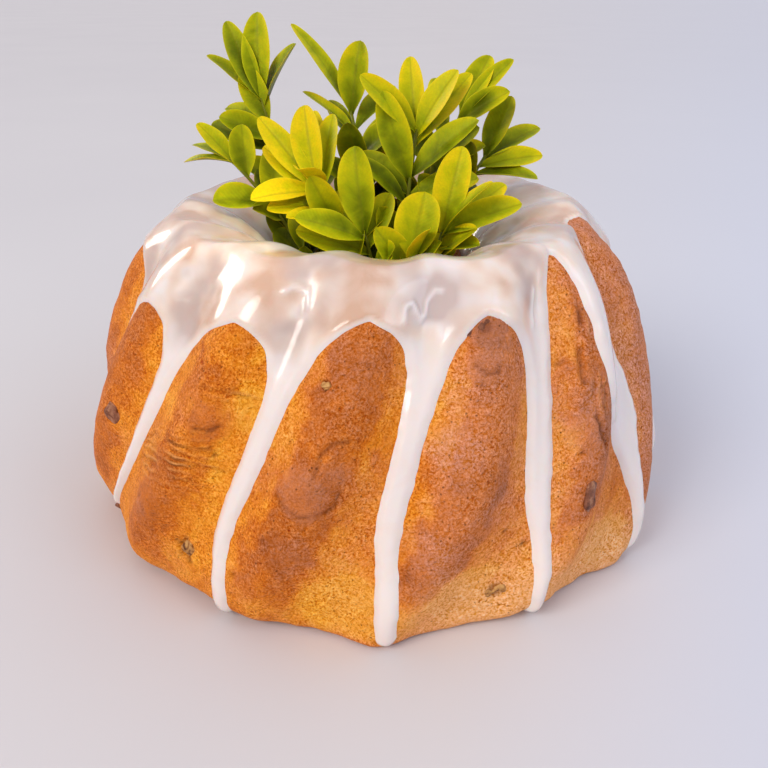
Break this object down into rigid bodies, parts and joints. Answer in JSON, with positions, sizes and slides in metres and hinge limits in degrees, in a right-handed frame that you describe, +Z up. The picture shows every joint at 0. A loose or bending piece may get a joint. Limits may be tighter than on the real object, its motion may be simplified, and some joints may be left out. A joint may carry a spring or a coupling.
{
  "type": "bundt cake",
  "caption": "Tall ring cake with swirled flutes, a narrow central hole and a tuft of small leafy sprigs standing in the hole.",
  "frame": {"origin": "middle of the cake's flat base, on the axis of its central hole", "axes": "+Z up along the hole's axis; -Y is the front, the side seen in the picture; +X is to the right seen from the front"},
  "size_m": [0.2296, 0.2294, 0.1801],
  "materials": {
    "baked_crust": "browned cake crust under a thin sugar glaze",
    "leaf_green": "satin leaves, yellow-green to darker green"
  },
  "bodies": {
    "root": {"cake": "baked_crust", "sprig_back_left": "leaf_green", "sprig_far_left": "leaf_green", "sprig_left_front": "leaf_green", "sprig_front_left": "leaf_green", "sprig_back_centre": "leaf_green", "sprig_centre": "leaf_green", "sprig_right_back": "leaf_green", "sprig_right_side": "leaf_green", "sprig_front_right": "leaf_green", "sprig_front": "leaf_green"}
  },
  "joints": []
}
